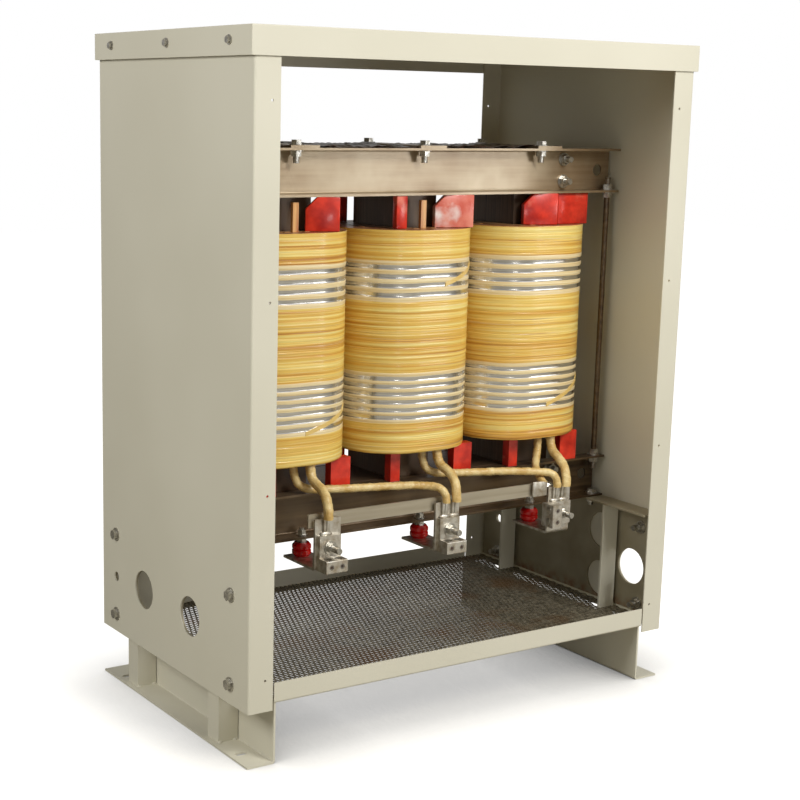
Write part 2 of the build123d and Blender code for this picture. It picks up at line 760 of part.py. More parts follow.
bar_front = bracket_front - 2 * bracket_sheet
with BuildPart() as return_bar:
    with BuildSketch(Plane.XZ.offset(bar_front - bar_sheet)):
        with Locations(((bar_left + bar_right) / 2, bar_base + bar_height / 2)):
            Rectangle(bar_right - bar_left, bar_height)
    extrude(amount=bar_sheet)
    with BuildSketch(Plane.XZ.offset(bar_front)):
        with Locations((terminal_places[0], bar_base + bar_height / 4)):
            Rectangle(bracket_width, bar_height / 2)
    extrude(amount=bracket_sheet)
save(return_bar, "return_bar")


# ---------------------------------------------------------------- leads
def bend_radii(points):
    """Radius at each corner: 0.45 of the shorter run over tan(half the turn)."""
    vectors = [Vector(*point) for point in points]
    radii = []
    for before, corner, after in zip(vectors, vectors[1:], vectors[2:]):
        turn = (corner - before).get_angle(after - corner)
        shorter = min((corner - before).length, (after - corner).length)
        radii.append(0.45 * shorter / tan(radians(turn) / 2))
    return radii


def taped_lead(points, size):
    """Round taped lead along straight runs joined by tangent arcs."""
    radii = bend_radii(points)
    with BuildPart() as lead:
        with BuildLine() as route:
            FilletPolyline(*points, radius=radii)
        with BuildSketch(Plane(origin=route.wire() @ 0, z_dir=route.wire() % 0)):
            Circle(size / 2)
        sweep(path=route.wire())
    swept = pi * size ** 2 / 4 * route.wire().length
    print("lead", round(route.wire().length), "mm, radii", [round(r) for r in radii],
          "volume", round(lead.part.volume / swept, 4))
    return lead


def ended_lead(points, size):
    """Taped lead with its flat bare conductor lying on the terminal plate."""
    lead = taped_lead(points, size)
    end_x = points[-1][0]
    with BuildPart() as whole:
        add(lead.part)
        with Locations((end_x, -bracket_front, lead_end)):
            Box(conductor_width, conductor_sheet, conductor_length,
                align=(Align.CENTER, Align.MAX, Align.MAX))
    return whole


left_lead = ended_lead([(-215, -102, coil_base), (-215, -102, coil_base - 24),
                        (-212, -134, coil_base - 34), (-217, -lead_line, coil_base - 52),
                        (-217, -lead_line, lead_end)], lead_size)
save(left_lead, "left_lead")
middle_lead = ended_lead([(25, -102, coil_base), (25, -102, coil_base - 24),
                          (31, -134, coil_base - 34), (24, -lead_line, coil_base - 52),
                          (24, -lead_line, lead_end)], lead_size)
save(middle_lead, "middle_lead")
right_lead = ended_lead([(262, -102, coil_base), (262, -102, coil_base - 24),
                         (258, -136, coil_base - 36), (251, -lead_line, coil_base - 52),
                         (251, -lead_line, lead_end)], lead_size)
save(right_lead, "right_lead")
left_link = ended_lead([(-234, -84, coil_base), (-234, -84, coil_base - 26),
                        (-218, -93, coil_base - 43), (-180, -104, coil_base - 44),
                        (-100, -118, coil_base - 46), (-20, -130, coil_base - 49),
                        (5, -link_line, coil_base - 52), (5, -link_line, lead_end)], link_size)
save(left_link, "left_link")
middle_link = ended_lead([(8, -84, coil_base), (8, -84, coil_base - 26),
                          (24, -93, coil_base - 43), (62, -104, coil_base - 44),
                          (140, -120, coil_base - 46), (204, -140, coil_base - 49),
                          (233, -link_line, coil_base - 52), (233, -link_line, lead_end)],
                         link_size)
save(middle_link, "middle_link")

crimp_line = bar_front - bar_sheet - bar_sheet / 2
return_lead = taped_lead([(240, -96, coil_base), (240, -96, coil_base - 28),
                          (216, -118, coil_base - 52),
                          (bar_right + 6, -crimp_line, bar_base + bar_height)], link_size)
with BuildPart() as return_lead_with_lug:
    add(return_lead.part)
    with Locations((bar_right - 2, -crimp_line, bar_base)):
        Box(crimp_width, bar_sheet, bar_height + 4, align=(Align.CENTER, Align.CENTER, Align.MIN))
save(return_lead_with_lug, "return_lead")
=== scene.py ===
# %% [markdown]
# # A dry type transformer, dressed
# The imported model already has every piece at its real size: a folded sheet steel enclosure,
# a laminated core between channel clamps, three taped coils and their cable lugs.
# This lesson only gives the pieces their finish, and adds what is too fine for the solids:
# the turns of tape, the expanded mesh, threads, weld beads and wrinkled insulation paper.

# %% Load the frame
import json
import math
import random

import bpy
from mathutils import Matrix, Vector, noise


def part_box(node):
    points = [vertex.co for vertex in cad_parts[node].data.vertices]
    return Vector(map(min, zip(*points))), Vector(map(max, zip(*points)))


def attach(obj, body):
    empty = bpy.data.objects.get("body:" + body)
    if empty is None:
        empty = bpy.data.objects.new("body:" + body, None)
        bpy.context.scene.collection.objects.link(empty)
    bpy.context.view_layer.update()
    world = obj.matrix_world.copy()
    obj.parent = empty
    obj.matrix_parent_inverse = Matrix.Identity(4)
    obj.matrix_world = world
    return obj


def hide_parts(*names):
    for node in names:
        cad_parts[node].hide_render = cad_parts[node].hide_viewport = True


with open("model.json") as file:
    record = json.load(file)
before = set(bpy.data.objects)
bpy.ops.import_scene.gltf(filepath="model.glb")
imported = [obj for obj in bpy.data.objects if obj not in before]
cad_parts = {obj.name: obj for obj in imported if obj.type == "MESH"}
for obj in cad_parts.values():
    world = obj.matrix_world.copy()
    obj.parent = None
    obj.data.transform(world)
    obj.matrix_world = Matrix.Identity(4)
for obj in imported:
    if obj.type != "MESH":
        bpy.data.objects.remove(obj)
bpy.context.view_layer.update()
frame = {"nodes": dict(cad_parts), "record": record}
nodes = frame["nodes"]
MM = 0.001

# %% [markdown]
# ## Camera and light
# A camera is two things: a place with a direction, and a lens. Writing the direction as
# three angles keeps it readable, and the lens shift moves the picture without turning the
# camera, so upright edges keep their small lean.

# %% Camera
camera_place = Vector((-1.4913, -2.1186, 0.9381))
camera_yaw, camera_pitch, camera_roll = -0.5676, -0.1962, 0.0187
ahead = Vector((-math.sin(camera_yaw) * math.cos(camera_pitch),
                math.cos(camera_yaw) * math.cos(camera_pitch), math.sin(camera_pitch)))
level_right = Vector((math.cos(camera_yaw), math.sin(camera_yaw), 0))
level_up = level_right.cross(ahead)
turn, lean = math.cos(camera_roll), math.sin(camera_roll)
right = turn * level_right + lean * level_up
up = turn * level_up - lean * level_right
camera = bpy.data.objects.new("camera", bpy.data.cameras.new("camera"))
camera.data.lens = 72.16
camera.data.shift_x = 0.1048
camera.data.shift_y = 0.0331
camera.matrix_world = (Matrix.Translation(camera_place)
                       @ Matrix((right, up, -ahead)).transposed().to_4x4())
bpy.context.scene.collection.objects.link(camera)
bpy.context.scene.camera = camera
bpy.context.scene.view_settings.view_transform = "Standard"
print("camera at", tuple(camera_place))

# %% [markdown]
# ## Small helpers
# Shader trees and meshes both get long when every call is written out. One helper adds a
# node with its values, where a value may be a plain number or another node's socket. Others
# join rings of points into tubes, and make an object that rides on the frame.

# %% Helpers
def add_node(tree, kind, values=None, **settings):
    """Add a shader node; each value is a constant or a socket to link from."""
    made = tree.nodes.new(kind)
    for name, value in settings.items():
        setattr(made, name, value)
    for name, value in (values or {}).items():
        if isinstance(value, bpy.types.NodeSocket):
            tree.links.new(value, made.inputs[name])
        else:
            made.inputs[name].default_value = value
    return made


def new_material(name):
    """Empty material and its object coordinates."""
    material = bpy.data.materials.new(name)
    material.use_nodes = True
    tree = material.node_tree
    tree.nodes.clear()
    place = add_node(tree, "ShaderNodeTexCoord").outputs["Object"]
    return material, place


def arithmetic(operation, first, second):
    """Result of a sum on a socket; the socket knows which tree it is in."""
    return add_node(first.id_data, "ShaderNodeMath", {0: first, 1: second},
                    operation=operation).outputs[0]


def ramp(factor, *stops):
    """Colour ramp from (position, colour) stops."""
    made = add_node(factor.id_data, "ShaderNodeValToRGB", {"Fac": factor})
    elements = made.color_ramp.elements
    while len(elements) < len(stops):
        elements.new(0.5)
    for element, (position, colour) in zip(elements, stops):
        element.position = position
        element.color = (*colour, 1)
    return made.outputs["Color"]


def ring_quads(low, high, sides):
    """Quads between two rings of points, given where each ring starts."""
    return [(low + side, low + (side + 1) % sides, high + (side + 1) % sides, high + side)
            for side in range(sides)]


def tube_faces(rings, sides):
    """Faces of a tube made of rings of points, with both its ends."""
    faces = [quad for ring in range(rings - 1)
             for quad in ring_quads(ring * sides, (ring + 1) * sides, sides)]
    return faces + [tuple(reversed(range(sides))),
                    tuple(range((rings - 1) * sides, rings * sides))]


def new_piece(name, points, faces, slot, material=None, smooth=True):
    """Mesh object that rides on the body, with its slot's finish or one of its own."""
    mesh = bpy.data.meshes.new(name)
    mesh.from_pydata(points, [], faces)
    mesh.validate()
    mesh.materials.append(material or finishes[slot])
    if smooth:
        mesh.shade_smooth()
    piece = bpy.data.objects.new(name, mesh)
    bpy.context.scene.collection.objects.link(piece)
    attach(piece, "root")
    return piece


def islands(node):
    """Boxes of the separate solids in a node's mesh."""
    mesh = nodes[node].data
    parent = list(range(len(mesh.vertices)))

    def root(index):
        while parent[index] != index:
            parent[index] = parent[parent[index]]
            index = parent[index]
        return index

    seen_at = {}
    for index, vertex in enumerate(mesh.vertices):
        key = tuple(round(value, 5) for value in vertex.co)
        parent[root(index)] = root(seen_at.setdefault(key, index))
    for edge in mesh.edges:
        parent[root(edge.vertices[0])] = root(edge.vertices[1])
    groups = {}
    for index, vertex in enumerate(mesh.vertices):
        groups.setdefault(root(index), []).append(vertex.co)
    boxes = [[Vector([choose(values) for values in zip(*group)]) for choose in (min, max)]
             for group in groups.values()]
    return sorted(boxes, key=lambda pair: tuple(round(value, 4) for value in pair[0]))


# %% [markdown]
# ## Lamps and backdrop
# The object stands in a white studio. The world is white only to the camera; reflections
# see a dimmer white. What lights the object is a pale dome and four soft lamps: a large one
# in front, small ones at the right and low down, and one far to the left. The floor glows
# white to the camera, and ambient occlusion darkens that glow and the floor's colour under
# and near the object, a painted shadow.

# %% Lamps
def soft_lamp(name, place, target, width, power):
    """Square area lamp aimed at a point."""
    data = bpy.data.lights.new(name, "AREA")
    data.size = width
    data.energy = power
    lamp = bpy.data.objects.new(name, data)
    lamp.location = place
    lamp.rotation_euler = (Vector(target) - Vector(place)).to_track_quat("-Z", "Y").to_euler()
    bpy.context.scene.collection.objects.link(lamp)


soft_lamp("front_lamp", (0.55, -2.6, 2.55), (0, 0, 0.85), 1.2, 85)
soft_lamp("right_lamp", (1.75, -2.4, 0.7), (0, 0, 0.7), 0.7, 8.5)
soft_lamp("near_lamp", (-0.9, -3.1, 0.5), (0, 0, 0.7), 0.4, 4)
soft_lamp("left_lamp", (-2.7, -0.5, 1.9), (-0.4, 0, 0.8), 1.1, 40)

world = bpy.data.worlds.new("studio")
bpy.context.scene.world = world
world.use_nodes = True
tree = world.node_tree
tree.nodes.clear()
rays = add_node(tree, "ShaderNodeLightPath")
dome = add_node(tree, "ShaderNodeBackground", {"Color": (0.88, 0.86, 0.80, 1), "Strength": 0.19})
white = add_node(tree, "ShaderNodeBackground", {"Color": (1, 1, 1, 1), "Strength": 1.0})
sheen = add_node(tree, "ShaderNodeBackground", {"Color": (1, 0.98, 0.95, 1), "Strength": 0.42})
mirrored = arithmetic("MAXIMUM", rays.outputs["Is Glossy Ray"],
                      rays.outputs["Is Transmission Ray"])
around = add_node(tree, "ShaderNodeMixShader", {0: mirrored, 1: dome.outputs[0],
                                                2: sheen.outputs[0]})
sky = add_node(tree, "ShaderNodeMixShader", {0: rays.outputs["Is Camera Ray"],
                                             1: around.outputs[0], 2: white.outputs[0]})
add_node(tree, "ShaderNodeOutputWorld", {"Surface": sky.outputs[0]})
print("four lamps and a white world")

# %% Floor
material, _ = new_material("studio_floor")
tree = material.node_tree
rays = add_node(tree, "ShaderNodeLightPath")
plain = add_node(tree, "ShaderNodeBsdfDiffuse", {"Color": (0.42, 0.39, 0.32, 1)})
# painted shadow: ambient occlusion darkens the floor's glow and colour to the camera under and
# near the object
painted_floor_shadow = add_node(tree, "ShaderNodeAmbientOcclusion",
                    {"Color": (0.42, 0.39, 0.32, 1), "Distance": 0.19})
shadowed_glow = arithmetic("POWER", painted_floor_shadow.outputs["AO"], 1.2)
shaded = add_node(tree, "ShaderNodeBsdfDiffuse", {"Color": painted_floor_shadow.outputs["Color"]})
glow = add_node(tree, "ShaderNodeEmission", {"Color": (1, 1, 1, 1), "Strength": shadowed_glow})
both = add_node(tree, "ShaderNodeAddShader", {0: shaded.outputs[0], 1: glow.outputs[0]})
mixed = add_node(tree, "ShaderNodeMixShader", {0: rays.outputs["Is Camera Ray"],
                                               1: plain.outputs[0], 2: both.outputs[0]})
add_node(tree, "ShaderNodeOutputMaterial", {"Surface": mixed.outputs[0]})
floor_half = 9.0
floor_mesh = bpy.data.meshes.new("studio_floor")
floor_mesh.from_pydata([(-floor_half, -floor_half, 0), (floor_half, -floor_half, 0),
                        (floor_half, floor_half, 0), (-floor_half, floor_half, 0)],
                       [], [(0, 1, 2, 3)])
floor_mesh.materials.append(material)
studio_floor = bpy.data.objects.new("studio_floor", floor_mesh)
bpy.context.scene.collection.objects.link(studio_floor)
print("floor", 2 * floor_half, "m across")

# %% [markdown]
# ## Shared effects as node groups
# Four effects come back in almost every finish: soft mottling, streaks that run one way,
# a fine bump, and dirt that gathers on upward faces. Each is a group built once, and each
# material places it with its own values.

# %% Node groups
FLOAT, VECTOR = "NodeSocketFloat", "NodeSocketVector"


def new_group(name, output, **inputs):
    """Shader node group with a place, inputs with their usual values, and one output."""
    group = bpy.data.node_groups.new(name, "ShaderNodeTree")
    for label, value in {"Place": (0, 0, 0), **inputs}.items():
        kind = VECTOR if isinstance(value, tuple) else FLOAT
        socket = group.interface.new_socket(label, in_out="INPUT", socket_type=kind)
        socket.default_value = value
    kind = VECTOR if output == "Normal" else FLOAT
    group.interface.new_socket(output, in_out="OUTPUT", socket_type=kind)
    return group, group.nodes.new("NodeGroupInput").outputs


def cloud(place, scale, detail):
    """Soft noise between 0 and 1."""
    return add_node(place.id_data, "ShaderNodeTexNoise",
                    {"Vector": place, "Scale": scale, "Detail": detail}).outputs["Fac"]


def raised(height, strength, depth):
    """Normal bent by a height mask."""
    return add_node(height.id_data, "ShaderNodeBump",
                    {"Height": height, "Strength": strength, "Distance": depth}).outputs[0]


def remap(value, low, high, start=0.0, stop=1.0):
    """Stretch a value from low..high to start..stop."""
    return add_node(value.id_data, "ShaderNodeMapRange",
                    {"Value": value, "From Min": low, "From Max": high, "To Min": start,
                     "To Max": stop}).outputs["Result"]


mottle_group, entry = new_group("mottle", "Mask", Scale=20, Detail=4, Low=0.35, High=0.65)
spots = cloud(entry["Place"], entry["Scale"], entry["Detail"])
add_node(mottle_group, "NodeGroupOutput", {"Mask": remap(spots, entry["Low"], entry["High"])})

streak_group, entry = new_group("streaks", "Mask", Stretch=(1, 1, 100), Detail=3, Low=0.3,
                                High=0.7)
stretched = add_node(streak_group, "ShaderNodeVectorMath",
                     {0: entry["Place"], 1: entry["Stretch"]}, operation="MULTIPLY")
lines = cloud(stretched.outputs[0], 1.0, entry["Detail"])
add_node(streak_group, "NodeGroupOutput", {"Mask": remap(lines, entry["Low"], entry["High"])})

bump_group, entry = new_group("fine_bump", "Normal", Scale=800, Strength=0.2, Depth=0.0002)
grain = cloud(entry["Place"], entry["Scale"], 3.0)
add_node(bump_group, "NodeGroupOutput",
         {"Normal": raised(grain, entry["Strength"], entry["Depth"])})

dust_group, entry = new_group("dust", "Mask", Scale=30, Amount=0.5)
facing_up = add_node(dust_group, "ShaderNodeSeparateXYZ",
                     {0: add_node(dust_group, "ShaderNodeNewGeometry").outputs["Normal"]})
patches = cloud(entry["Place"], entry["Scale"], 5.0)
settled = arithmetic("MULTIPLY", remap(facing_up.outputs["Z"], 0.3, 0.95),
                     remap(patches, 0.3, 0.75))
add_node(dust_group, "NodeGroupOutput",
         {"Mask": arithmetic("MULTIPLY", settled, entry["Amount"])})


def effect(place, group, **values):
    """Place a group with its values, and give the mask or normal it puts out."""
    return add_node(place.id_data, "ShaderNodeGroup", {"Place": place, **values},
                    node_tree=group).outputs[0]


def blend_colour(factor, first, second):
    """Mix two colours by a mask."""
    first, second = (colour if isinstance(colour, bpy.types.NodeSocket) else (*colour, 1)
                     for colour in (first, second))
    return add_node(factor.id_data, "ShaderNodeMix", {"Factor": factor, 6: first, 7: second},
                    data_type="RGBA").outputs[2]


def finish_material(material, colour, normal, roughness, metal=0.0, coat=(0.0, 0.03),
                    specular=0.5):
    """Principled surface; the coat of varnish is given as its weight and roughness."""
    surface = add_node(material.node_tree, "ShaderNodeBsdfPrincipled", {
        "Base Color": colour, "Normal": normal, "Roughness": roughness, "Metallic": metal,
        "Coat Weight": coat[0], "Coat Roughness": coat[1], "Specular IOR Level": specular})
    add_node(material.node_tree, "ShaderNodeOutputMaterial", {"Surface": surface.outputs[0]})
    return material


print("groups:", [group.name for group in (mottle_group, streak_group, bump_group, dust_group)])

# %% [markdown]
# ## Powder coat
# The enclosure is beige grey powder coat. Powder melts into a skin with a faint orange
# peel, so the finish needs a fine bump and a soft gloss, and almost no colour change: only
# a slight drift over the sheet and a little dust on ledges.

# %% Powder coat
def powder_coat():
    material, place = new_material("enclosure_paint")
    drift = effect(place, mottle_group, Scale=3.0, Detail=2.0)
    colour = blend_colour(drift, (0.645, 0.612, 0.488), (0.69, 0.657, 0.532))
    dirt = effect(place, dust_group, Scale=24.0, Amount=0.10)
    colour = blend_colour(dirt, colour, (0.40, 0.35, 0.25))
    normal = effect(place, bump_group, Scale=620.0, Strength=0.12)
    return finish_material(material, colour, normal, 0.42, specular=0.45)


def plate_finish():
    """Thin paint over galvanised steel on the plates and shelves inside."""
    material, place = new_material("plate_steel")
    blotch = effect(place, mottle_group, Scale=14.0, Detail=6.0)
    colour = blend_colour(blotch, (0.31, 0.27, 0.175), (0.40, 0.355, 0.25))
    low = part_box("right_end_plate")[0].z
    height = add_node(material.node_tree, "ShaderNodeSeparateXYZ", {0: place}).outputs["Z"]
    rusty = remap(height, low + 22 * MM, low)
    patch = effect(place, mottle_group, Scale=60.0, Low=0.4, High=0.7)
    rust = arithmetic("MULTIPLY", rusty, patch)
    colour = blend_colour(rust, colour, (0.22, 0.075, 0.02))
    normal = effect(place, bump_group, Scale=300.0, Strength=0.2)
    return finish_material(material, colour, normal, 0.45, metal=0.25)


finishes = {"enclosure_paint": powder_coat(), "plate_steel": plate_finish()}
print("paints:", list(finishes))

# %% [markdown]
# ## Bare metals
# Five metals are on show: zinc bolts, dull tinned aluminium lugs, varnished steel clamps,
# the dark edge of the core's laminations, and the stained steel of the mesh. A metal is
# mostly its reflections, so roughness and streaks do more of the work than colour.

# %% Metals
def zinc():
    """Plated bolts and nuts, spotted with dull patches."""
    material, place = new_material("zinc")
    spots = effect(place, mottle_group, Scale=240.0, Detail=3.0)
    colour = blend_colour(spots, (0.38, 0.365, 0.32), (0.64, 0.62, 0.57))
    rough = remap(spots, 0.0, 1.0, 0.42, 0.26)
    normal = effect(place, bump_group, Scale=900.0, Strength=0.15)
    return finish_material(material, colour, normal, rough, metal=1.0)


def tinned_aluminium():
    """Grey lugs and conductor ends with brown stains."""
    material, place = new_material("tinned_aluminium")
    stains = effect(place, mottle_group, Scale=90.0, Detail=6.0, Low=0.38, High=0.7)
    colour = blend_colour(stains, (0.66, 0.63, 0.56), (0.36, 0.30, 0.21))
    rough = remap(stains, 0.0, 1.0, 0.36, 0.6)
    normal = effect(place, bump_group, Scale=520.0, Strength=0.3)
    return finish_material(material, colour, normal, rough, metal=0.9)


def clamp_steel(name, dark, light, pale):
    """Varnished steel, drawn along X, with paler places where the varnish is thin."""
    material, place = new_material(name)
    grain = effect(place, streak_group, Stretch=(5, 130, 130), Detail=5.0)
    colour = blend_colour(grain, dark, light)
    runs = effect(place, mottle_group, Scale=7.0, Detail=4.0, Low=0.45, High=0.75)
    colour = blend_colour(runs, colour, pale)
    normal = effect(place, bump_group, Scale=210.0, Strength=0.18)
    return finish_material(material, colour, normal, 0.38, metal=0.55, coat=(0.4, 0.2))


def core_steel():
    """Edges of the core's thin sheets, one beside the other along Y."""
    material, place = new_material("core_steel")
    sheets = effect(place, streak_group, Stretch=(3, 1500, 3), Detail=1.0, Low=0.35, High=0.65)
    stain = effect(place, mottle_group, Scale=22.0, Detail=5.0)
    colour = blend_colour(sheets, (0.050, 0.032, 0.020), (0.19, 0.125, 0.07))
    colour = blend_colour(stain, colour, (0.12, 0.07, 0.035))
    normal = raised(sheets, 0.6, 0.0004)
    return finish_material(material, colour, normal, 0.45, metal=0.4, coat=(0.25, 0.3))


def mesh_steel():
    """Dull mesh strands with a little rust."""
    material, place = new_material("mesh_steel")
    rust = effect(place, mottle_group, Scale=11.0, Detail=6.0, Low=0.5, High=0.68)
    tone = effect(place, mottle_group, Scale=160.0, Detail=2.0)
    colour = blend_colour(tone, (0.10, 0.083, 0.052), (0.27, 0.235, 0.165))
    colour = blend_colour(rust, colour, (0.15, 0.085, 0.035))
    normal = effect(place, bump_group, Scale=700.0, Strength=0.25)
    return finish_material(material, colour, normal, 0.48, metal=0.3)


tan_clamp = clamp_steel("clamp_steel", (0.24, 0.155, 0.08), (0.37, 0.27, 0.16),
                        (0.50, 0.41, 0.28))
finishes.update(zinc=zinc(), tinned_aluminium=tinned_aluminium(), clamp_steel=tan_clamp,
                core_steel=core_steel(), mesh_steel=mesh_steel())
print("metals:", list(finishes)[2:])

# %% [markdown]
# ## Insulation
# The coils are wound with glass tape and dipped in varnish, which turns them amber and
# glossy. Each turn of tape has its own tone, so the colour follows thin streaks around the
# coil. The red blocks and insulators are moulded glass polyester with varnish smears; the
# askew block on the middle coil is paler red with whitish patches, a painted highlight.

# %% Insulation materials
def winding_tape():
    """Amber glass tape: tones per turn, pale threads and dark gaps between turns."""
    material, place = new_material("winding_tape")
    turns = effect(place, streak_group, Stretch=(2.2, 2.2, 190), Detail=3.0, Low=0.3, High=0.68)
    colour = ramp(turns, (0.0, (0.48, 0.21, 0.03)), (0.22, (0.68, 0.37, 0.055)),
                  (0.6, (0.80, 0.54, 0.115)), (1.0, (0.86, 0.71, 0.24)))
    threads = effect(place, streak_group, Stretch=(5, 5, 900), Detail=2.0, Low=0.60, High=0.74)
    colour = blend_colour(threads, colour, (0.86, 0.74, 0.36))
    gaps = effect(place, streak_group, Stretch=(4, 4, 420), Detail=1.0, Low=0.70, High=0.78)
    colour = blend_colour(gaps, colour, (0.42, 0.20, 0.06))
    fibres = effect(place, streak_group, Stretch=(14, 14, 1300), Detail=2.0, Low=0.2, High=0.8)
    normal = raised(fibres, 0.35, 0.0005)
    return finish_material(material, colour, normal, 0.38, coat=(0.5, 0.16))


def band_tape(name, dark, light):
    """Narrow glass tape laid over the aluminium band."""
    material, place = new_material(name)
    fibres = effect(place, streak_group, Stretch=(4, 4, 900), Detail=3.0)
    colour = blend_colour(fibres, dark, light)
    normal = raised(fibres, 0.3, 0.0004)
    return finish_material(material, colour, normal, 0.35, coat=(0.4, 0.2))


def foil_band():
    """Bright rolled aluminium under a film of varnish."""
    material, place = new_material("foil_band")
    rolled = effect(place, streak_group, Stretch=(9, 9, 700), Detail=3.0)
    colour = blend_colour(rolled, (0.60, 0.58, 0.54), (0.84, 0.83, 0.80))
    normal = effect(place, bump_group, Scale=60.0, Strength=0.25, Depth=0.0005)
    return finish_material(material, colour, normal, 0.23, metal=1.0)


def varnished(name, dark, light, stretch, roughness=0.4, coat=0.3):
    """Brown varnished board, paper or stick with streaks along one way."""
    material, place = new_material(name)
    grain = effect(place, streak_group, Stretch=stretch, Detail=5.0)
    colour = blend_colour(grain, dark, light)
    normal = effect(place, bump_group, Scale=260.0, Strength=0.35)
    return finish_material(material, colour, normal, roughness, coat=(coat, 0.2))


def red_moulding(name, deep, bright, smear, roughness, pale=(0.78, 0.26, 0.17)):
    """Red glass polyester; smear is how much pale varnish lies on it, and on the paler block it
    sets the whitish patches of painted highlight.
    """
    material, place = new_material(name)
    flow = effect(place, mottle_group, Scale=35.0, Detail=5.0)
    colour = blend_colour(flow, deep, bright)
    patches = effect(place, mottle_group, Scale=26.0, Detail=8.0, Low=0.62 - smear,
                     High=0.80 - smear)
    colour = blend_colour(patches, colour, pale)
    normal = effect(place, bump_group, Scale=240.0, Strength=0.25)
    return finish_material(material, colour, normal, roughness, coat=(0.3, 0.12))


def crepe_tape():
    """Stretchy crepe tape on the leads: cream where thick, amber in its folds."""
    material, place = new_material("lead_tape")
    stains = effect(place, mottle_group, Scale=55.0, Detail=6.0)
    colour = blend_colour(stains, (0.60, 0.38, 0.11), (0.84, 0.66, 0.31))
    wrinkles = effect(place, streak_group, Stretch=(300, 300, 700), Detail=3.0)
    normal = raised(wrinkles, 0.6, 0.0009)
    return finish_material(material, colour, normal, 0.42, coat=(0.35, 0.2))


finishes.update(
    winding_tape=winding_tape(), lead_tape=crepe_tape(),
    inner_winding=varnished("inner_winding", (0.16, 0.06, 0.022), (0.42, 0.22, 0.075),
                            (8, 8, 260)),
    winding_board=varnished("winding_board", (0.10, 0.045, 0.02), (0.26, 0.13, 0.05),
                            (60, 60, 4)),
    duct_stick=varnished("duct_stick", (0.42, 0.14, 0.03), (0.80, 0.46, 0.15), (160, 160, 9)),
    red_block=red_moulding("red_block", (0.42, 0.008, 0.003), (0.80, 0.045, 0.018), 0.0, 0.3),
    red_insulator=red_moulding("red_insulator", (0.66, 0.002, 0.003), (0.85, 0.010, 0.010),
                               -0.2, 0.2))
foil = foil_band()
cream = band_tape("band_tape", (0.70, 0.50, 0.22), (0.86, 0.74, 0.45))
loose_tape = band_tape("loose_tape", (0.66, 0.42, 0.10), (0.80, 0.58, 0.20))
dark_paper_and_socket_shade = varnished("dark_paper_and_socket_shade", (0.012, 0.008, 0.007), (0.075, 0.035, 0.022),
                       (40, 60, 40), 0.35, 0.5)
red_brown_edge = varnished("coil_edge", (0.20, 0.055, 0.02), (0.48, 0.22, 0.09), (90, 90, 90))
for part in frame["record"]["subparts"]:
    node_mesh = nodes[part["node"]].data
    node_mesh.materials.clear()
    node_mesh.materials.append(finishes[part["material_slot"]])
# painted highlight: a paler red with whitish patches stands in for the varnish glare on the
# askew middle block
painted_highlight_red = red_moulding("red_block_painted_highlight", (0.62, 0.10, 0.06), (0.80, 0.26, 0.18), 0.12, 0.3,
                        (0.88, 0.74, 0.68))
# painted shade: a much darker copy of the clamp steel, for the lower clamps and tie rods that
# stand in shade
painted_shade_clamp = clamp_steel("painted_shade_clamp_steel", (0.055, 0.030, 0.013), (0.16, 0.10, 0.045),
                         (0.20, 0.14, 0.08))
nodes["return_bar"].data.materials[0] = clamp_steel(
    "return_bar_steel", (0.36, 0.31, 0.22), (0.52, 0.46, 0.35), (0.46, 0.40, 0.29))
# the lower clamps and tie rods take the darker copy, which is painted shade
for node in ("lower_front_clamp", "lower_rear_clamp", "tie_rods"):
    nodes[node].data.materials[0] = painted_shade_clamp
print("finishes on", len(nodes), "nodes")

# %% [markdown]
# ## The turns of tape on a coil
# A coil is a rounded rectangle wound with narrow tape, so its skin is a stack of slightly
# overlapping turns. The skin is built row by row: each turn starts at its lower edge,
# bulges a little and ends under the next one. Two belts of the coil are different: there
# the aluminium conductor shows as bright stripes between cream tapes.

# %% Coil skin
coil_corner = 88 * MM
coil_build = 32 * MM         # from the skin to the duct wall
corner_steps, side_steps = 16, 3
lower_belt, upper_belt = 49 * MM, 240 * MM      # above the coil's lower end
foil_depth = 0.6 * MM
cream_depth = 0.15 * MM
loosest_turn = 0.35 * MM
turn_valley = 0.28 * MM
turn_shoulder = 0.15 * MM
turn_sway = 1.2 * MM
grit = 0.25 * MM
end_rim, first_rim = 3.2 * MM, 2.2 * MM
# how far each coil's right side lies inside the solid
coil_slack = {"left": 5 * MM, "middle": 3 * MM, "right": 1 * MM}


def rounded_rectangle(half_x, half_y, corner):
    """Points once round a rounded rectangle, anticlockwise from its right side."""
    middles = [Vector((sign_x * (half_x - corner), sign_y * (half_y - corner)))
               for sign_x, sign_y in ((1, 1), (-1, 1), (-1, -1), (1, -1))]
    outline = []
    for index, middle in enumerate(middles):
        for step in range(corner_steps + 1):
            angle = (index + step / corner_steps) * math.pi / 2
            way = Vector((math.cos(angle), math.sin(angle)))
            outline.append((middle + corner * way, way))
        following = middles[(index + 1) % 4]
        for step in range(1, side_steps):
            outline.append((middle.lerp(following, step / side_steps) + corner * way, way))
    return outline


def coil_outline(phase):
    """Ends of a coil's box, and the outline of its skin about the middle of that box."""
    low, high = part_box(f"{phase}_outer_winding")
    slack = coil_slack[phase]
    outline = rounded_rectangle((high.x - low.x - slack) / 2, (high.y - low.y) / 2, coil_corner)
    return low, high, [(spot - Vector((slack / 2, 0)), way) for spot, way in outline]


def belt_rows(start, stripes, stripe, tape):
    """Turns of one belt, with foil between the cream tapes, and where the belt ends."""
    rows, z = [], start
    for _ in range(stripes):
        rows += [(z, tape, "cream"), (z + tape, stripe, "foil")]
        z += tape + stripe
    rows.append((z, tape, "cream"))
    return rows, z + tape


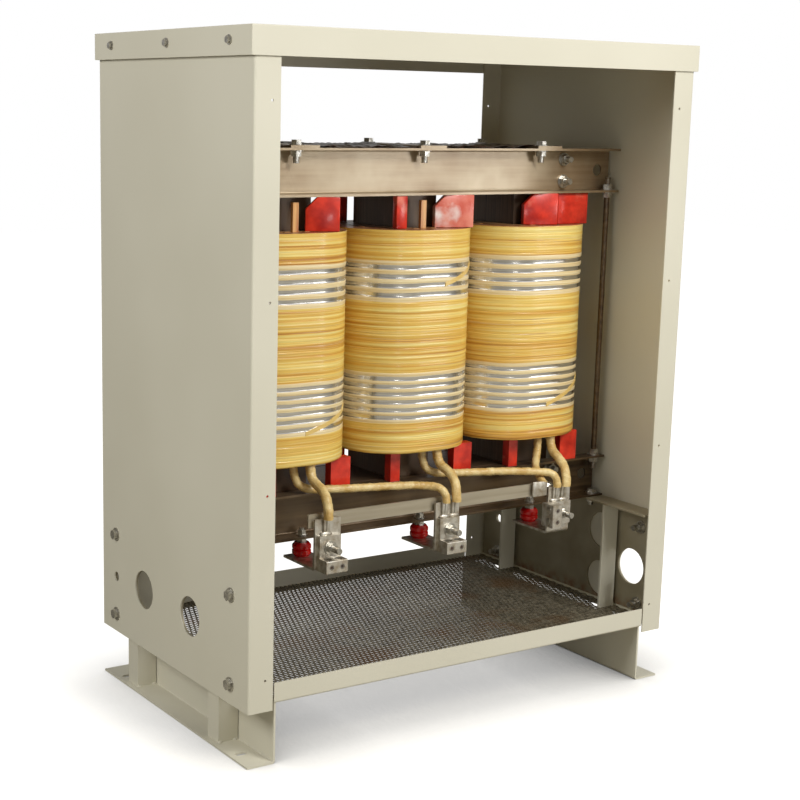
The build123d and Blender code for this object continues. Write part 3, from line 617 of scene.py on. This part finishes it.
def coil_turns(height, belts, dice):
    """List of (lower edge, height, finish) for all turns from bottom to top."""
    turns, z = [], 0.0
    for start, stripes, stripe, tape in belts + [(height, 0, 0, 0)]:
        while z < start - 1 * MM:
            pitch = min(dice.uniform(2.4, 5.2) * MM, start - z)
            turns.append((z, pitch, "amber"))
            z += pitch
        if stripes:
            rows, z = belt_rows(z, stripes, stripe, tape)
            turns += rows
    return turns


def wound_coil(phase, belts, seed):
    """Skin of one coil, with its end faces and duct wall, in place of the plain solid."""
    dice = random.Random(seed)
    low, high, outline = coil_outline(phase)
    centre = (low + high) / 2
    count = len(outline)
    height = high.z - low.z
    points, faces, kinds = [], [], []

    def add_row(z, inset, sway):
        for place, way in outline:
            swing = sway * noise.noise(Vector((way.x * 1.3, way.y * 1.3, z * 30 + seed)))
            rough = grit * noise.noise(Vector((way.x * 6, way.y * 6, z * 400 + seed)))
            spot = place - way * max(inset + rough, 0.02 * MM)
            points.append((centre.x + spot.x, centre.y + spot.y, low.z + z + swing))

    add_row(0.0, end_rim, 0)
    for z, pitch, finish in coil_turns(height, belts, dice):
        lift = dice.uniform(0.0, loosest_turn) if finish == "amber" else cream_depth
        inset = foil_depth if finish == "foil" else lift
        first = z < 1 * MM
        sway = 0 if z + pitch >= height - 0.1 * MM else turn_sway
        rim = first_rim if first else 0.0
        for share, depth, swing in ((0.12, turn_valley + rim, 0 if first else sway),
                                    (0.35, rim * 0.4, sway), (0.97, turn_shoulder, sway)):
            add_row(z + share * pitch, inset + depth, swing)
            faces += ring_quads(len(points) - 2 * count, len(points) - count, count)
            kinds += [("amber", "foil", "cream").index(finish)] * count
    inner = rounded_rectangle((high.x - low.x) / 2 - coil_build,
                              (high.y - low.y) / 2 - coil_build, coil_corner - coil_build)
    top_inner = len(points)
    for z in (height, 0.0):
        for place, way in inner:
            wave = abs(turn_sway * noise.noise(Vector((way.x * 5, way.y * 5, seed + z))))
            points.append((centre.x + place.x, centre.y + place.y,
                           low.z + z + (-wave if z else wave)))
    for ring, following in ((top_inner - count, top_inner), (top_inner, top_inner + count),
                            (top_inner + count, 0)):
        faces += ring_quads(ring, following, count)
        kinds += [3] * count
    coil = new_piece(f"{phase}_coil", points, faces, "winding_tape")
    for extra in (foil, cream, red_brown_edge):
        coil.data.materials.append(extra)
    for polygon, kind in zip(coil.data.polygons, kinds):
        polygon.material_index = kind
    coil.data.set_sharp_from_angle(angle=math.radians(50))
    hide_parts(f"{phase}_outer_winding")
    print(coil.name, len(coil.data.polygons), "faces")


# widths in mm of the foil and of the tape in the lower belt, then in the upper one
belt_widths = {"left": ((6.4, 6.0), (7.0, 7.4)), "middle": ((6.6, 5.8), (7.2, 7.2)),
               "right": ((6.2, 6.2), (7.0, 7.4))}
for seed, (phase, (lower, upper)) in zip((3, 7, 11), belt_widths.items()):
    wound_coil(phase, [(lower_belt, 6, lower[0] * MM, lower[1] * MM),
                       (upper_belt, 4, upper[0] * MM, upper[1] * MM)], seed)

# %% [markdown]
# ## Loose tape ends
# One turn of tape on each coil runs aslant over its corner, a little proud of the skin.

# %% Loose tape ends
tape_gauge = 0.4 * MM
tape_width = 6.5 * MM


def tape_end(phase, start, rise, front_share, corner_share):
    """End of a belt's tape, laid aslant from a coil's front over its right corner."""
    low, high, outline = coil_outline(phase)
    centre = (low + high) / 2
    corner = 3 * (corner_steps + side_steps)
    flat_end, way = outline[corner]
    flat_start = outline[corner - side_steps][0]
    line = [(flat_start.lerp(flat_end, front_share), way)]
    line += outline[corner:corner + round(corner_share * corner_steps) + 1]
    runs = [0.0]
    for (before, _), (after, _) in zip(line, line[1:]):
        runs.append(runs[-1] + (after - before).length)
    points, faces = [], []
    for (spot, way), run in zip(line, runs):
        z = low.z + start + rise * run / runs[-1]
        for inset, up in ((-tape_gauge, 0), (-tape_gauge, tape_width),
                          (2 * tape_gauge, tape_width), (2 * tape_gauge, 0)):
            place = spot - way * inset
            points.append((centre.x + place.x, centre.y + place.y, z + up))
    for index in range(len(line) - 1):
        for side in range(4):
            after = (side + 1) % 4
            faces.append((4 * index + side, 4 * index + 4 + side,
                          4 * index + 4 + after, 4 * index + after))
    last = len(points) - 4
    faces += [(0, 1, 2, 3), (last + 3, last + 2, last + 1, last)]
    strip = new_piece(f"{phase}_tape_end", points, faces, "winding_tape", loose_tape,
                      smooth=False)
    print(strip.name, len(points), "points")


tape_end("left", lower_belt - 2 * MM, 36 * MM, 0.55, 0.75)
tape_end("middle", upper_belt + 22 * MM, 30 * MM, 0.95, 0.7)
tape_end("right", lower_belt + 4 * MM, 58 * MM, 0.55, 0.95)

# %% [markdown]
# ## Upper support blocks
# Moulded red blocks carry the upper clamps on each coil. Those that stand askew have their
# upper left corner cut off, so each block is a flat outline with a thickness, turned about
# its own middle, with slightly rounded edges.

# %% Upper blocks
# (phase, middle from the coil's middle, length, turn in degrees)
upper_blocks = (("left", 40, 52, -27), ("middle", -48, 20, 0), ("middle", 53, 66, -14),
                ("right", -2, 60, -17), ("right", 67, 64, 0))
corner_cut = 18 * MM
block_edge = 1.2 * MM


def block_row():
    """All upper blocks as one piece, front and back, at the heights of the solids."""
    places = islands("upper_support_blocks")
    gauge = min(high.y - low.y for low, high in places)
    points, faces, pale = [], [], []
    for phase, across, length, turn in upper_blocks:
        low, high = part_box(f"{phase}_outer_winding")
        target = (low.x + high.x) / 2 + across * MM
        half = length / 2 * MM
        for hand in (-1, 1):
            start, stop = min((pair for pair in places if pair[0].y * hand > 0),
                              key=lambda pair: abs((pair[0].x + pair[1].x) / 2 - target))
            middle = (start + stop) / 2
            tall = stop.z - start.z
            outline = [(-half, 0), (half, 0), (half, tall)]
            outline += ([(-half + corner_cut, tall), (-half, tall - corner_cut)] if turn
                        else [(-half, tall)])
            spin = Matrix.Rotation(math.radians(-hand * turn), 3, "Z")
            first = len(points)
            for y in (-gauge / 2, gauge / 2):
                points += [Vector((middle.x, middle.y, start.z)) + spin @ Vector((x, y, z))
                           for x, z in outline]
            count = len(outline)
            # faces of the askew middle block take the paler red, a painted highlight
            pale += [phase == "middle" and turn != 0] * (count + 2)
            faces.append(tuple(range(first, first + count)))
            faces.append(tuple(reversed(range(first + count, first + 2 * count))))
            faces += ring_quads(first + count, first, count)
    blocks = new_piece("upper_blocks", points, faces, "red_block")
    blocks.data.materials.append(painted_highlight_red)
    for polygon, takes_painted_highlight in zip(blocks.data.polygons, pale):
        polygon.material_index = int(takes_painted_highlight)
    edges = blocks.modifiers.new("edges", "BEVEL")
    edges.width = block_edge
    edges.segments = 2
    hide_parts("upper_support_blocks")
    print(blocks.name, len(faces), "faces")


block_row()

# %% [markdown]
# ## Expanded metal floor
# Expanded mesh is one sheet, slit and pulled open, so its strands are never flat: each
# strand is tipped. Every diamond here is a closed frame, whose left corner stands higher
# than its right one, and neighbours share their outer corners so the sheet is whole.

# %% Expanded mesh
diamond_across = 8.5 * MM
diamond_along = 20.0 * MM
strand = 0.30               # share of the diamond that is metal
strand_tip = 0.55 * MM
plate_gauge = 3.0 * MM
clearance = 1.0 * MM


def expanded_mesh():
    """Sheet of diamonds between the end plates, left open where posts stand."""
    low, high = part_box("floor_mesh")
    low.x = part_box("left_end_plate")[0].x + plate_gauge + clearance
    high.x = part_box("right_end_plate")[1].x - plate_gauge - clearance
    posts = islands("left_posts") + islands("right_posts")
    columns = int((high.x - low.x) / diamond_across)
    rows = int((high.y - low.y) / diamond_along)
    pitch_x = (high.x - low.x) / columns
    pitch_y = (high.y - low.y) / rows
    gauge = (high.z - low.z) * 0.45
    middle_z = (low.z + high.z) / 2
    points, faces, shared = [], [], {}

    def lattice(column, row, level):
        """Point of the sheet's lower or upper side; column and row in half pitches."""
        return [low.x + column * pitch_x / 2, low.y + row * pitch_y / 2,
                middle_z + (level - 0.5) * gauge]

    def corner(*key):
        """Outer corner, shared by the diamonds that meet in it."""
        if key not in shared:
            shared[key] = len(points)
            points.append(lattice(*key))
        return shared[key]

    ways = ((1, 0), (0, 1), (-1, 0), (0, -1))
    for row in range(1, 2 * rows):
        for column in range(1 + (row + 1) % 2, 2 * columns, 2):
            x, y, _ = lattice(column, row, 0)
            if any(start.x + pitch_x / 2 < x < stop.x - pitch_x / 2
                   and start.y + pitch_y / 4 < y < stop.y - pitch_y / 4
                   for start, stop in posts):
                continue
            outer = [[corner(column + dx, row + dy, level) for dx, dy in ways]
                     for level in (0, 1)]
            inner = [[], []]
            for level in (0, 1):
                for dx, dy in ways:
                    inner[level].append(len(points))
                    x, y, z = lattice(column + dx * (1 - strand), row + dy * (1 - strand), level)
                    points.append((x, y, z - dx * strand_tip))
            for index in range(4):
                after = (index + 1) % 4
                faces += [(outer[1][index], outer[1][after], inner[1][after], inner[1][index]),
                          (outer[0][after], outer[0][index], inner[0][index], inner[0][after]),
                          (inner[1][index], inner[1][after], inner[0][after], inner[0][index])]
    mesh = new_piece("expanded_mesh", points, faces, "mesh_steel", smooth=False)
    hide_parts("floor_mesh")
    print(mesh.name, len(mesh.data.polygons), "faces,", columns, "by", rows, "diamonds")


expanded_mesh()

# %% [markdown]
# ## Taped leads
# Each lead leaves its coil, bends forward and drops to its terminal. It is a stiff
# conductor wrapped with crepe tape, so the tube has a spiral step where the tape
# overlaps, and lumps where it was pulled round a bend. The line is a smooth curve through
# a few points, and the tube is swept along it.

# %% Lead helpers
tape_pitch = 9 * MM
tape_step = 0.6 * MM
tape_lumps = 0.7 * MM
tape_padding = 0.35 * MM
bar_edge = 1.0 * MM
ring_sides = 20


def smooth_route(points):
    """Evenly spaced points along a smooth curve steered by a few control points."""
    curve = bpy.data.curves.new("route", "CURVE")
    curve.dimensions = "3D"
    spline = curve.splines.new("NURBS")
    spline.points.add(len(points) - 1)
    for target, point in zip(spline.points, points):
        target.co = (*point, 1)
    spline.order_u = 3
    spline.use_endpoint_u = True
    curve.resolution_u = 24
    holder = bpy.data.objects.new("route", curve)
    mesh = bpy.data.meshes.new_from_object(holder)
    line = [vertex.co.copy() for vertex in mesh.vertices]
    bpy.data.objects.remove(holder)
    bpy.data.meshes.remove(mesh)
    spaced, left = [line[0]], 0.0
    step = 1.5 * MM     # between two rings of a tube
    for before, after in zip(line, line[1:]):
        run = (after - before).length
        along = step - left
        while along < run:
            spaced.append(before.lerp(after, along / run))
            along += step
        left = (left + run) % step
    spaced.append(line[-1])
    return spaced


def taped_tube(name, route, size, seed, replaced):
    """Tube with spiral tape steps and lumps along a route."""
    line = smooth_route(route)
    travelled = 0.0
    side = Vector((1, 0, 0))
    points = []
    for index, spot in enumerate(line):
        ahead_way = (line[min(index + 1, len(line) - 1)] - line[max(index - 1, 0)]).normalized()
        side = (side - ahead_way * side.dot(ahead_way)).normalized()
        other = ahead_way.cross(side)
        if index:
            travelled += (spot - line[index - 1]).length
        for corner in range(ring_sides):
            angle = corner / ring_sides * 2 * math.pi
            step_in = tape_step * ((travelled / tape_pitch + corner / ring_sides) % 1.0)
            way = math.cos(angle) * side + math.sin(angle) * other
            bulge = tape_lumps * noise.noise(Vector((way.x, way.y + seed, travelled * 90)))
            points.append(spot + (size / 2 + tape_padding - step_in + bulge) * way)
    tube = new_piece(name, points, tube_faces(len(line), ring_sides), "lead_tape")
    tube.data.set_sharp_from_angle(angle=math.radians(60))
    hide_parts(replaced)
    print(name, round(travelled, 3), "m long")


def flat_bar(name, centre, size):
    """Small tinned bar with rounded edges."""
    x, y, z = (value / 2 for value in size)
    points = [(centre[0] + sx * x, centre[1] + sy * y, centre[2] + sz * z)
              for sx in (-1, 1) for sy in (-1, 1) for sz in (-1, 1)]
    faces = [(0, 1, 3, 2), (4, 6, 7, 5), (0, 4, 5, 1), (2, 3, 7, 6), (0, 2, 6, 4), (1, 5, 7, 3)]
    bar = new_piece(name, points, faces, "tinned_aluminium")
    edges = bar.modifiers.new("edges", "BEVEL")
    edges.width = bar_edge
    edges.segments = 2


def lump(name, centre, size, slot, seed):
    """Irregular bead, such as solder or a weld, from a noisy ball."""
    rows, sides, lump_relief = 9, 14, 0.25
    points, faces = [], []
    for row in range(rows + 1):
        tilt = row / rows * math.pi
        for corner in range(sides):
            angle = corner / sides * 2 * math.pi
            way = Vector((math.sin(tilt) * math.cos(angle), math.sin(tilt) * math.sin(angle),
                          math.cos(tilt)))
            grow = 1 + lump_relief * noise.noise(way * 2.5 + Vector((seed, seed, seed)))
            points.append([centre[axis] + way[axis] * grow * size[axis] / 2
                           for axis in range(3)])
    for row in range(rows):
        for corner in range(sides):
            after = (corner + 1) % sides
            a, b = row * sides, (row + 1) * sides
            faces.append((a + corner, b + corner, b + after, a + after))
    new_piece(name, points, faces, slot)


# %% Leads
coil_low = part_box("middle_outer_winding")[0].z
plate_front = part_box("middle_terminal_bracket")[0].y
plate_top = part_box("middle_terminal_bracket")[1].z
lead_size, link_size = 15 * MM, 12.5 * MM
last_bend = 52              # mm below the coils
# (size, x at the terminal, bends on the way there as x, y and height from the coils in mm)
routes = {
    "left_lead": (lead_size, -217, [(-215, -102, 0), (-215, -102, -24), (-212, -134, -34)]),
    "middle_lead": (lead_size, 24, [(25, -102, 0), (25, -102, -24), (31, -134, -34)]),
    "right_lead": (lead_size, 251, [(262, -102, 0), (262, -102, -24), (258, -136, -36)]),
    "left_link": (link_size, 5, [(-234, -84, 0), (-234, -84, -26), (-218, -93, -43),
                                 (-180, -104, -44), (-100, -118, -46), (-20, -130, -49)]),
    "middle_link": (link_size, 233, [(8, -84, 0), (8, -84, -26), (24, -93, -43),
                                     (62, -104, -44), (140, -120, -46), (204, -140, -49)]),
}
conductor = Vector((5.0, 3.6, 24.0)) * MM
for seed, (name, (size, end_x, bends)) in enumerate(routes.items()):
    bends = [Vector(bend) * MM + Vector((0, 0, coil_low)) for bend in bends]
    for z in (coil_low - last_bend * MM, plate_top):
        bends.append(Vector((end_x * MM, plate_front - size / 2, z)))
    taped_tube(f"{name}_tape", bends, size, seed * 5 + 2, name)
    for strand_index, offset in enumerate((-0.55, 0.55)):
        end = bends[-1] + Vector((offset * conductor.x * 1.02, 0, -conductor.z / 2 + 2 * MM))
        end.y = plate_front - conductor.y / 2
        flat_bar(f"{name}_end_{strand_index}", end, conductor)
    puddle = (bends[-1].x, plate_front - 1.6 * MM, plate_top - conductor.z + 1 * MM)
    lump(f"{name}_solder", puddle, (20 * MM, 7 * MM, 8 * MM), "tinned_aluminium", seed + 0.5)
bar_low, bar_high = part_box("return_bar")
crimp_y = bar_low.y - 1.5 * MM
taped_tube("return_lead_tape", [
    Vector((240 * MM, -96 * MM, coil_low)), Vector((240 * MM, -96 * MM, coil_low - 28 * MM)),
    Vector((216 * MM, -118 * MM, coil_low - 52 * MM)),
    Vector((bar_high.x + 6 * MM, crimp_y, bar_high.z))], link_size, 31, "return_lead")
flat_bar("return_lug", (bar_high.x - 2 * MM, crimp_y, bar_high.z - 8.5 * MM),
         (30 * MM, 3 * MM, 25 * MM))

# %% [markdown]
# ## Threads and set screws
# The solids have plain shanks. Where a bolt's end shows, a ridged sleeve a hair larger than
# the shank gives it a thread, and each cable lug gets its hollow set screws, each hollow
# covered by a dark disc that is painted shade.

# %% Threads
thread_pitch = 1.5 * MM
thread_depth = 0.45 * MM    # at its end
thread_crest, thread_root = 0.15 * MM, 0.18 * MM
thread_proud = 0.3 * MM


def turned(name, axis_start, way, profile, sides=20, material=None):
    """Solid of revolution from (distance along, radius) pairs about an axis."""
    way = Vector(way).normalized()
    side = way.orthogonal().normalized()
    other = way.cross(side)
    points = []
    for along, radius in profile:
        for corner in range(sides):
            angle = corner / sides * 2 * math.pi
            points.append(Vector(axis_start) + way * along
                          + radius * (math.cos(angle) * side + math.sin(angle) * other))
    piece = new_piece(name, points, tube_faces(len(profile), sides), "zinc", material)
    piece.data.set_sharp_from_angle(angle=math.radians(30))


def thread(name, start, way, radius, length):
    """Ridged sleeve around a bolt's end, a little proud of it."""
    start = start - way * thread_proud
    ridges = int(length / thread_pitch)
    profile = [(0.0, radius - thread_depth)]
    for ridge in range(ridges):
        profile += [((ridge + 0.5) * thread_pitch, radius + thread_crest),
                    ((ridge + 1.0) * thread_pitch, radius - thread_root)]
    turned(name, start, way, profile)


shank = 9.5 / 2 * MM
# (name, node, axis of the shank, ways in from the ends that show, length)
threaded = (("terminal", "terminal_studs", 1, (1,), 15 * MM),
            ("clamp", "clamp_bolts", 1, (1,), 10 * MM),
            ("rod", "tie_rods", 2, (1, -1), 12 * MM),
            ("strap", "strap_bolts", 2, (1,), 9 * MM))
for kind, node, axis, signs, length in threaded:
    for index, (low, high) in enumerate(islands(node)):
        for sign in signs:
            start, way = (low + high) / 2, Vector()
            start[axis] = low[axis] if sign > 0 else high[axis]
            way[axis] = sign
            end_name = f"_{sign + 1}" if len(signs) > 1 else ""
            thread(f"{kind}_thread_{index}{end_name}", start, way, shank, length)
print("threads on four kinds of bolt")

# %% Set screws
screw_radius = 3.7 * MM
socket_radius = 2.7 * MM
screw_inset = 10 * MM       # from the lug's wire side
screw = [(6 * MM, screw_radius), (0.8 * MM, screw_radius), (0.3 * MM, screw_radius * 0.92),
         (0.3 * MM, socket_radius), (4.5 * MM, socket_radius)]
# painted shade: a dark disc over the mouth of each screw's hollow
socket = [(0.25 * MM, socket_radius * 0.9), (0.5 * MM, socket_radius)]
for phase in ("left", "middle", "right"):
    low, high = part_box(f"{phase}_terminal_lug")
    for index, share in enumerate((0.25, 0.75)):
        x, z = low.x + share * (high.x - low.x), low.z + screw_inset
        if phase == "right":    # this lug lies on its side
            x, z = low.x + screw_inset, low.z + share * (high.z - low.z)
        turned(f"{phase}_set_screw_{index}", (x, low.y, z), (0, 1, 0), screw, 24)
        # the dark disc in the hollow is painted shade; the same material is the yoke's real dark
        # paper
        turned(f"{phase}_socket_{index}", (x, low.y, z), (0, 1, 0), socket, 24, dark_paper_and_socket_shade)
print("set screws in three lugs")

# %% [markdown]
# ## Insulation paper on the yoke, and weld beads
# Between the straps the top yoke is covered with varnish-soaked paper that has wrinkled and
# lifted. A grid with noise for its height and torn edges does that. The posts of the base
# are welded to the feet with short beads.

# %% Paper on the yoke
sheet_columns, sheet_rows = 70, 26
sheet_gauge = 0.5 * MM
sheet_lift = 5.5 * MM
torn_edge = 4 * MM


def crumpled_sheet(name, low, high, seed):
    """Wrinkled paper over a rectangle, torn along its long edges."""
    points, faces = [], []
    for row in range(sheet_rows + 1):
        for column in range(sheet_columns + 1):
            share_x, share_y = column / sheet_columns, row / sheet_rows
            x = low.x + share_x * (high.x - low.x)
            edge = noise.noise(Vector((x * 40, share_y * 2, seed)))
            y = low.y + share_y * (high.y - low.y) + edge * torn_edge * (1 - 2 * share_y)
            fold = abs(noise.noise(Vector((x * 22, y * 26, seed)))) * 1.6
            small = abs(noise.noise(Vector((x * 90, y * 90, seed + 5)))) * 0.5
            points.append((x, y, low.z + sheet_lift * min(fold + small, 1.0)))
    width = sheet_columns + 1
    for row in range(sheet_rows):
        for start in range(row * width, row * width + sheet_columns):
            faces.append((start, start + 1, start + width + 1, start + width))
    sheet = new_piece(name, points, faces, "core_steel", dark_paper_and_socket_shade)
    solid = sheet.modifiers.new("gauge", "SOLIDIFY")
    solid.thickness = sheet_gauge
    solid.offset = 1.0


yoke_low, yoke_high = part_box("top_yoke")
half_depth = -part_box("upper_front_clamp")[0].y - 6 * MM
strap_edges = [value for low, high in islands("yoke_straps") for value in (low.x, high.x)]
ends = [yoke_low.x, *strap_edges, yoke_high.x]
for index, (start, stop) in enumerate(zip(ends[::2], ends[1::2])):
    if stop - start > 8 * MM:
        crumpled_sheet(f"yoke_paper_{index}",
                       Vector((start + 1 * MM, -half_depth, yoke_high.z)),
                       Vector((stop - 1 * MM, half_depth, yoke_high.z)), index + 2)

# %% Weld beads
bead = (9 * MM, 4.5 * MM, 4.5 * MM)
for hand in ("left", "right"):
    for index, (low, high) in enumerate(islands(f"{hand}_posts")):
        for end_index, x in enumerate((low.x + 3 * MM, high.x - 3 * MM)):
            lump(f"{hand}_weld_{index}_{end_index}", (x, low.y, low.z + 0.5 * MM),
                 bead, "enclosure_paint", index + 0.3)
print("paper and welds done")
